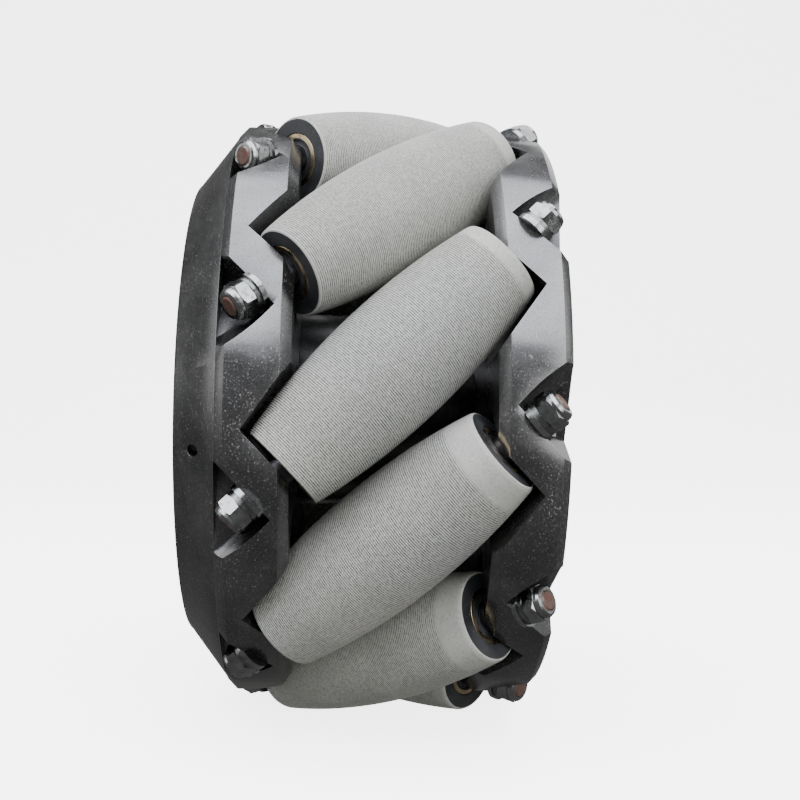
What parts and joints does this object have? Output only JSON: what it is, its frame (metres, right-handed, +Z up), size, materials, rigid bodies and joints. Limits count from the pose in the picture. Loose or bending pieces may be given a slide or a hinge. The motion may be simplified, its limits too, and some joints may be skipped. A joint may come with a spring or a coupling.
{
  "type": "mecanum wheel",
  "caption": "Omnidirectional mecanum wheel: barrel rollers with grooved grey treads set at forty-five degrees between two notched black side plates, with a mounting flange on one side.",
  "frame": {"origin": "centre of the hub bore in the wheel's middle plane, halfway between the two side plates", "axes": "+Y is the wheel's spin axis and points outboard, away from the mounting flange; +Z is up; +X is forward"},
  "size_m": [0.2034, 0.1113, 0.2034],
  "materials": {
    "black_anodised": "bead blasted and black anodised, dusty",
    "hub_aluminium": "turned and anodised dark grey",
    "black_steel": "black oxide",
    "stud_steel": "worn, lightly rusted steel",
    "spacer_steel": "turned steel",
    "bearing_steel": "ground steel",
    "bearing_gold": "yellow passivated steel",
    "zinc_steel": "bright zinc plating",
    "spring_steel": "dull zinc plating",
    "tread_rubber": "matte grey with fine turned grooves",
    "core_plastic": "moulded black nylon"
  },
  "bodies": {
    "frame": {"inboard_plate": "black_anodised", "outboard_plate": "black_anodised", "inboard_flange": "black_anodised", "hub_drum": "hub_aluminium", "inboard_hub_screws": "black_steel", "outboard_hub_screws": "black_steel", "axle_studs": "stud_steel", "axle_spacers": "spacer_steel", "bearing_inner_rings": "bearing_steel", "thrust_collars": "spacer_steel", "inboard_flat_washers": "zinc_steel", "outboard_flat_washers": "zinc_steel", "inboard_spring_washers": "spring_steel", "outboard_spring_washers": "spring_steel", "inboard_lock_nuts": "zinc_steel", "outboard_lock_nuts": "zinc_steel"},
    "roller_0": {"roller_0_tread": "tread_rubber", "roller_0_core": "core_plastic", "roller_0_outer_rings": "bearing_gold"},
    "ball_set_0": {"roller_0_balls": "bearing_steel"},
    "roller_1": {"roller_1_tread": "tread_rubber", "roller_1_core": "core_plastic", "roller_1_outer_rings": "bearing_gold"},
    "ball_set_1": {"roller_1_balls": "bearing_steel"},
    "roller_2": {"roller_2_tread": "tread_rubber", "roller_2_core": "core_plastic", "roller_2_outer_rings": "bearing_gold"},
    "ball_set_2": {"roller_2_balls": "bearing_steel"},
    "roller_3": {"roller_3_tread": "tread_rubber", "roller_3_core": "core_plastic", "roller_3_outer_rings": "bearing_gold"},
    "ball_set_3": {"roller_3_balls": "bearing_steel"},
    "roller_4": {"roller_4_tread": "tread_rubber", "roller_4_core": "core_plastic", "roller_4_outer_rings": "bearing_gold"},
    "ball_set_4": {"roller_4_balls": "bearing_steel"},
    "roller_5": {"roller_5_tread": "tread_rubber", "roller_5_core": "core_plastic", "roller_5_outer_rings": "bearing_gold"},
    "ball_set_5": {"roller_5_balls": "bearing_steel"},
    "roller_6": {"roller_6_tread": "tread_rubber", "roller_6_core": "core_plastic", "roller_6_outer_rings": "bearing_gold"},
    "ball_set_6": {"roller_6_balls": "bearing_steel"},
    "roller_7": {"roller_7_tread": "tread_rubber", "roller_7_core": "core_plastic", "roller_7_outer_rings": "bearing_gold"},
    "ball_set_7": {"roller_7_balls": "bearing_steel"},
    "roller_8": {"roller_8_tread": "tread_rubber", "roller_8_core": "core_plastic", "roller_8_outer_rings": "bearing_gold"},
    "ball_set_8": {"roller_8_balls": "bearing_steel"},
    "roller_9": {"roller_9_tread": "tread_rubber", "roller_9_core": "core_plastic", "roller_9_outer_rings": "bearing_gold"},
    "ball_set_9": {"roller_9_balls": "bearing_steel"}
  },
  "joints": [
    {"name": "roller_0_spin", "type": "hinge", "parent": "frame", "child": "roller_0", "pos_m": [0.08228, 0, 0.01421], "axis": [-0.1204, 0.7071, 0.6968], "continuous": true},
    {"name": "ball_set_0_orbit", "type": "hinge", "parent": "frame", "child": "ball_set_0", "pos_m": [0.08228, 0, 0.01421], "axis": [-0.1204, 0.7071, 0.6968], "continuous": true},
    {"name": "roller_1_spin", "type": "hinge", "parent": "frame", "child": "roller_1", "pos_m": [0.05821, 0, 0.05986], "axis": [-0.5069, 0.7071, 0.493], "continuous": true},
    {"name": "ball_set_1_orbit", "type": "hinge", "parent": "frame", "child": "ball_set_1", "pos_m": [0.05821, 0, 0.05986], "axis": [-0.5069, 0.7071, 0.493], "continuous": true},
    {"name": "roller_2_spin", "type": "hinge", "parent": "frame", "child": "roller_2", "pos_m": [0.01191, 0, 0.08265], "axis": [-0.6999, 0.7071, 0.1009], "continuous": true},
    {"name": "ball_set_2_orbit", "type": "hinge", "parent": "frame", "child": "ball_set_2", "pos_m": [0.01191, 0, 0.08265], "axis": [-0.6999, 0.7071, 0.1009], "continuous": true},
    {"name": "roller_3_spin", "type": "hinge", "parent": "frame", "child": "roller_3", "pos_m": [-0.03894, 0, 0.07386], "axis": [-0.6255, 0.7071, -0.3298], "continuous": true},
    {"name": "ball_set_3_orbit", "type": "hinge", "parent": "frame", "child": "ball_set_3", "pos_m": [-0.03894, 0, 0.07386], "axis": [-0.6255, 0.7071, -0.3298], "continuous": true},
    {"name": "roller_4_spin", "type": "hinge", "parent": "frame", "child": "roller_4", "pos_m": [-0.07492, 0, 0.03687], "axis": [-0.3122, 0.7071, -0.6345], "continuous": true},
    {"name": "ball_set_4_orbit", "type": "hinge", "parent": "frame", "child": "ball_set_4", "pos_m": [-0.07492, 0, 0.03687], "axis": [-0.3122, 0.7071, -0.6345], "continuous": true},
    {"name": "roller_5_spin", "type": "hinge", "parent": "frame", "child": "roller_5", "pos_m": [-0.08228, 0, -0.01421], "axis": [0.1204, 0.7071, -0.6968], "continuous": true},
    {"name": "ball_set_5_orbit", "type": "hinge", "parent": "frame", "child": "ball_set_5", "pos_m": [-0.08228, 0, -0.01421], "axis": [0.1204, 0.7071, -0.6968], "continuous": true},
    {"name": "roller_6_spin", "type": "hinge", "parent": "frame", "child": "roller_6", "pos_m": [-0.05821, 0, -0.05986], "axis": [0.5069, 0.7071, -0.493], "continuous": true},
    {"name": "ball_set_6_orbit", "type": "hinge", "parent": "frame", "child": "ball_set_6", "pos_m": [-0.05821, 0, -0.05986], "axis": [0.5069, 0.7071, -0.493], "continuous": true},
    {"name": "roller_7_spin", "type": "hinge", "parent": "frame", "child": "roller_7", "pos_m": [-0.01191, 0, -0.08265], "axis": [0.6999, 0.7071, -0.1009], "continuous": true},
    {"name": "ball_set_7_orbit", "type": "hinge", "parent": "frame", "child": "ball_set_7", "pos_m": [-0.01191, 0, -0.08265], "axis": [0.6999, 0.7071, -0.1009], "continuous": true},
    {"name": "roller_8_spin", "type": "hinge", "parent": "frame", "child": "roller_8", "pos_m": [0.03894, 0, -0.07386], "axis": [0.6255, 0.7071, 0.3298], "continuous": true},
    {"name": "ball_set_8_orbit", "type": "hinge", "parent": "frame", "child": "ball_set_8", "pos_m": [0.03894, 0, -0.07386], "axis": [0.6255, 0.7071, 0.3298], "continuous": true},
    {"name": "roller_9_spin", "type": "hinge", "parent": "frame", "child": "roller_9", "pos_m": [0.07492, 0, -0.03687], "axis": [0.3122, 0.7071, 0.6345], "continuous": true},
    {"name": "ball_set_9_orbit", "type": "hinge", "parent": "frame", "child": "ball_set_9", "pos_m": [0.07492, 0, -0.03687], "axis": [0.3122, 0.7071, 0.6345], "continuous": true}
  ],
  "couplings": [
    {"joint": "ball_set_0_orbit", "follows": "roller_0_spin", "ratio": 0.652},
    {"joint": "ball_set_1_orbit", "follows": "roller_1_spin", "ratio": 0.652},
    {"joint": "ball_set_2_orbit", "follows": "roller_2_spin", "ratio": 0.652},
    {"joint": "ball_set_3_orbit", "follows": "roller_3_spin", "ratio": 0.652},
    {"joint": "ball_set_4_orbit", "follows": "roller_4_spin", "ratio": 0.652},
    {"joint": "ball_set_5_orbit", "follows": "roller_5_spin", "ratio": 0.652},
    {"joint": "ball_set_6_orbit", "follows": "roller_6_spin", "ratio": 0.652},
    {"joint": "ball_set_7_orbit", "follows": "roller_7_spin", "ratio": 0.652},
    {"joint": "ball_set_8_orbit", "follows": "roller_8_spin", "ratio": 0.652},
    {"joint": "ball_set_9_orbit", "follows": "roller_9_spin", "ratio": 0.652}
  ]
}
